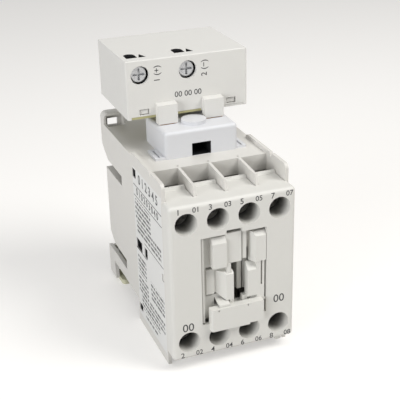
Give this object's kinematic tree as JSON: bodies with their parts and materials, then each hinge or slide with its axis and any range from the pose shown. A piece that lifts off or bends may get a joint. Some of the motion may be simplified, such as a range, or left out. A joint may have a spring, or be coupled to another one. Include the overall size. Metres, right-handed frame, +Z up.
{
  "type": "contactor",
  "caption": "Four-pole contactor with screw terminals behind driver holes, a rear base for a mounting rail and a plug-in coil interface module.",
  "frame": {"origin": "on the ground plane, under the middle of the device's bounding box", "axes": "+X to the right seen from the front, +Y from the front face towards the mounting rail, +Z up"},
  "size_m": [0.045, 0.0808, 0.0993],
  "materials": {
    "housing_plastic": "fine matt moulding, warm light grey",
    "cover_plastic": "fine matt moulding, warm light grey",
    "module_plastic": "fine matt moulding, warm light grey",
    "block_plastic": "smooth moulding, cool white",
    "latch_plastic": "smooth moulding, cream",
    "base_plastic": "thin olive moulding",
    "label_paper": "satin printed film",
    "inner_plastic": "dark moulding",
    "carrier_plastic": "smooth moulding, light grey",
    "copper": "stamped copper alloy",
    "winding": "enamelled copper wire",
    "silver": "pressed contact metal",
    "steel": "zinc-plated steel",
    "laminated_steel": "stacked sheet",
    "rubber": "moulded",
    "board": "glass laminate"
  },
  "bodies": {
    "housing": {"base_frame": "housing_plastic", "terminal_housing": "housing_plastic", "housing_wall_left": "housing_plastic", "housing_wall_right": "housing_plastic", "pole_ribs": "housing_plastic", "front_cover": "cover_plastic", "auxiliary_guide": "cover_plastic", "side_label": "label_paper", "line_terminals": "copper", "load_terminals": "copper", "fixed_contact_tips": "silver", "magnet_core": "laminated_steel", "core_cushions": "rubber", "coil_bobbin": "inner_plastic", "coil_winding": "winding", "coil_terminal_block": "block_plastic", "coil_terminals": "copper", "return_springs": "steel", "rail_latch_spring": "steel"},
    "carrier": {"contact_carrier": "carrier_plastic", "armature_pin": "steel", "armature": "laminated_steel", "contact_springs": "steel"},
    "bridges": {"contact_bridges": "copper", "moving_contact_tips": "silver"},
    "latch": {"rail_latch": "latch_plastic"},
    "module": {"module_housing": "module_plastic", "module_base": "base_plastic", "module_board": "board", "module_choke": "inner_plastic", "module_tabs": "module_plastic", "module_prongs": "copper", "module_terminals": "copper"},
    "clamp_1": {"terminal_screw_1": "steel", "wire_clamp_1": "steel"},
    "clamp_2": {"terminal_screw_2": "steel", "wire_clamp_2": "steel"},
    "clamp_3": {"terminal_screw_3": "steel", "wire_clamp_3": "steel"},
    "clamp_4": {"terminal_screw_4": "steel", "wire_clamp_4": "steel"},
    "clamp_5": {"terminal_screw_5": "steel", "wire_clamp_5": "steel"},
    "clamp_6": {"terminal_screw_6": "steel", "wire_clamp_6": "steel"},
    "clamp_7": {"terminal_screw_7": "steel", "wire_clamp_7": "steel"},
    "clamp_8": {"terminal_screw_8": "steel", "wire_clamp_8": "steel"},
    "module_clamp_1": {"module_screw_1": "steel", "module_clamp_1": "steel"},
    "module_clamp_2": {"module_screw_2": "steel", "module_clamp_2": "steel"}
  },
  "joints": [
    {"name": "carrier_slide", "type": "slide", "parent": "housing", "child": "carrier", "axis": [0, 1, 0], "range_m": [0, 0.005], "stiffness_N_per_m": 700, "springref_m": -0.004, "deforming": ["return_springs"]},
    {"name": "bridge_slide", "type": "slide", "parent": "carrier", "child": "bridges", "axis": [0, -1, 0], "range_m": [0, 0.0012], "deforming": ["contact_springs"]},
    {"name": "latch_slide", "type": "slide", "parent": "housing", "child": "latch", "axis": [0, 0, -1], "range_m": [0, 0.003], "stiffness_N_per_m": 900, "springref_m": -0.003, "deforming": ["rail_latch_spring"]},
    {"name": "module_slide", "type": "slide", "parent": "housing", "child": "module", "axis": [0, 0, 1], "range_m": [0, 0.012]},
    {"name": "clamp_1_slide", "type": "slide", "parent": "housing", "child": "clamp_1", "axis": [0, 1, 0], "range_m": [0, 0.0048]},
    {"name": "clamp_2_slide", "type": "slide", "parent": "housing", "child": "clamp_2", "axis": [0, 1, 0], "range_m": [0, 0.0048]},
    {"name": "clamp_3_slide", "type": "slide", "parent": "housing", "child": "clamp_3", "axis": [0, 1, 0], "range_m": [0, 0.0048]},
    {"name": "clamp_4_slide", "type": "slide", "parent": "housing", "child": "clamp_4", "axis": [0, 1, 0], "range_m": [0, 0.0048]},
    {"name": "clamp_5_slide", "type": "slide", "parent": "housing", "child": "clamp_5", "axis": [0, 1, 0], "range_m": [0, 0.0048]},
    {"name": "clamp_6_slide", "type": "slide", "parent": "housing", "child": "clamp_6", "axis": [0, 1, 0], "range_m": [0, 0.0048]},
    {"name": "clamp_7_slide", "type": "slide", "parent": "housing", "child": "clamp_7", "axis": [0, 1, 0], "range_m": [0, 0.0048]},
    {"name": "clamp_8_slide", "type": "slide", "parent": "housing", "child": "clamp_8", "axis": [0, 1, 0], "range_m": [0, 0.0048]},
    {"name": "module_clamp_1_slide", "type": "slide", "parent": "module", "child": "module_clamp_1", "axis": [0, 1, 0], "range_m": [0, 0.003]},
    {"name": "module_clamp_2_slide", "type": "slide", "parent": "module", "child": "module_clamp_2", "axis": [0, 1, 0], "range_m": [0, 0.003]}
  ],
  "couplings": [
    {"joint": "bridge_slide", "follows": "carrier_slide", "ratio": 0.24}
  ]
}
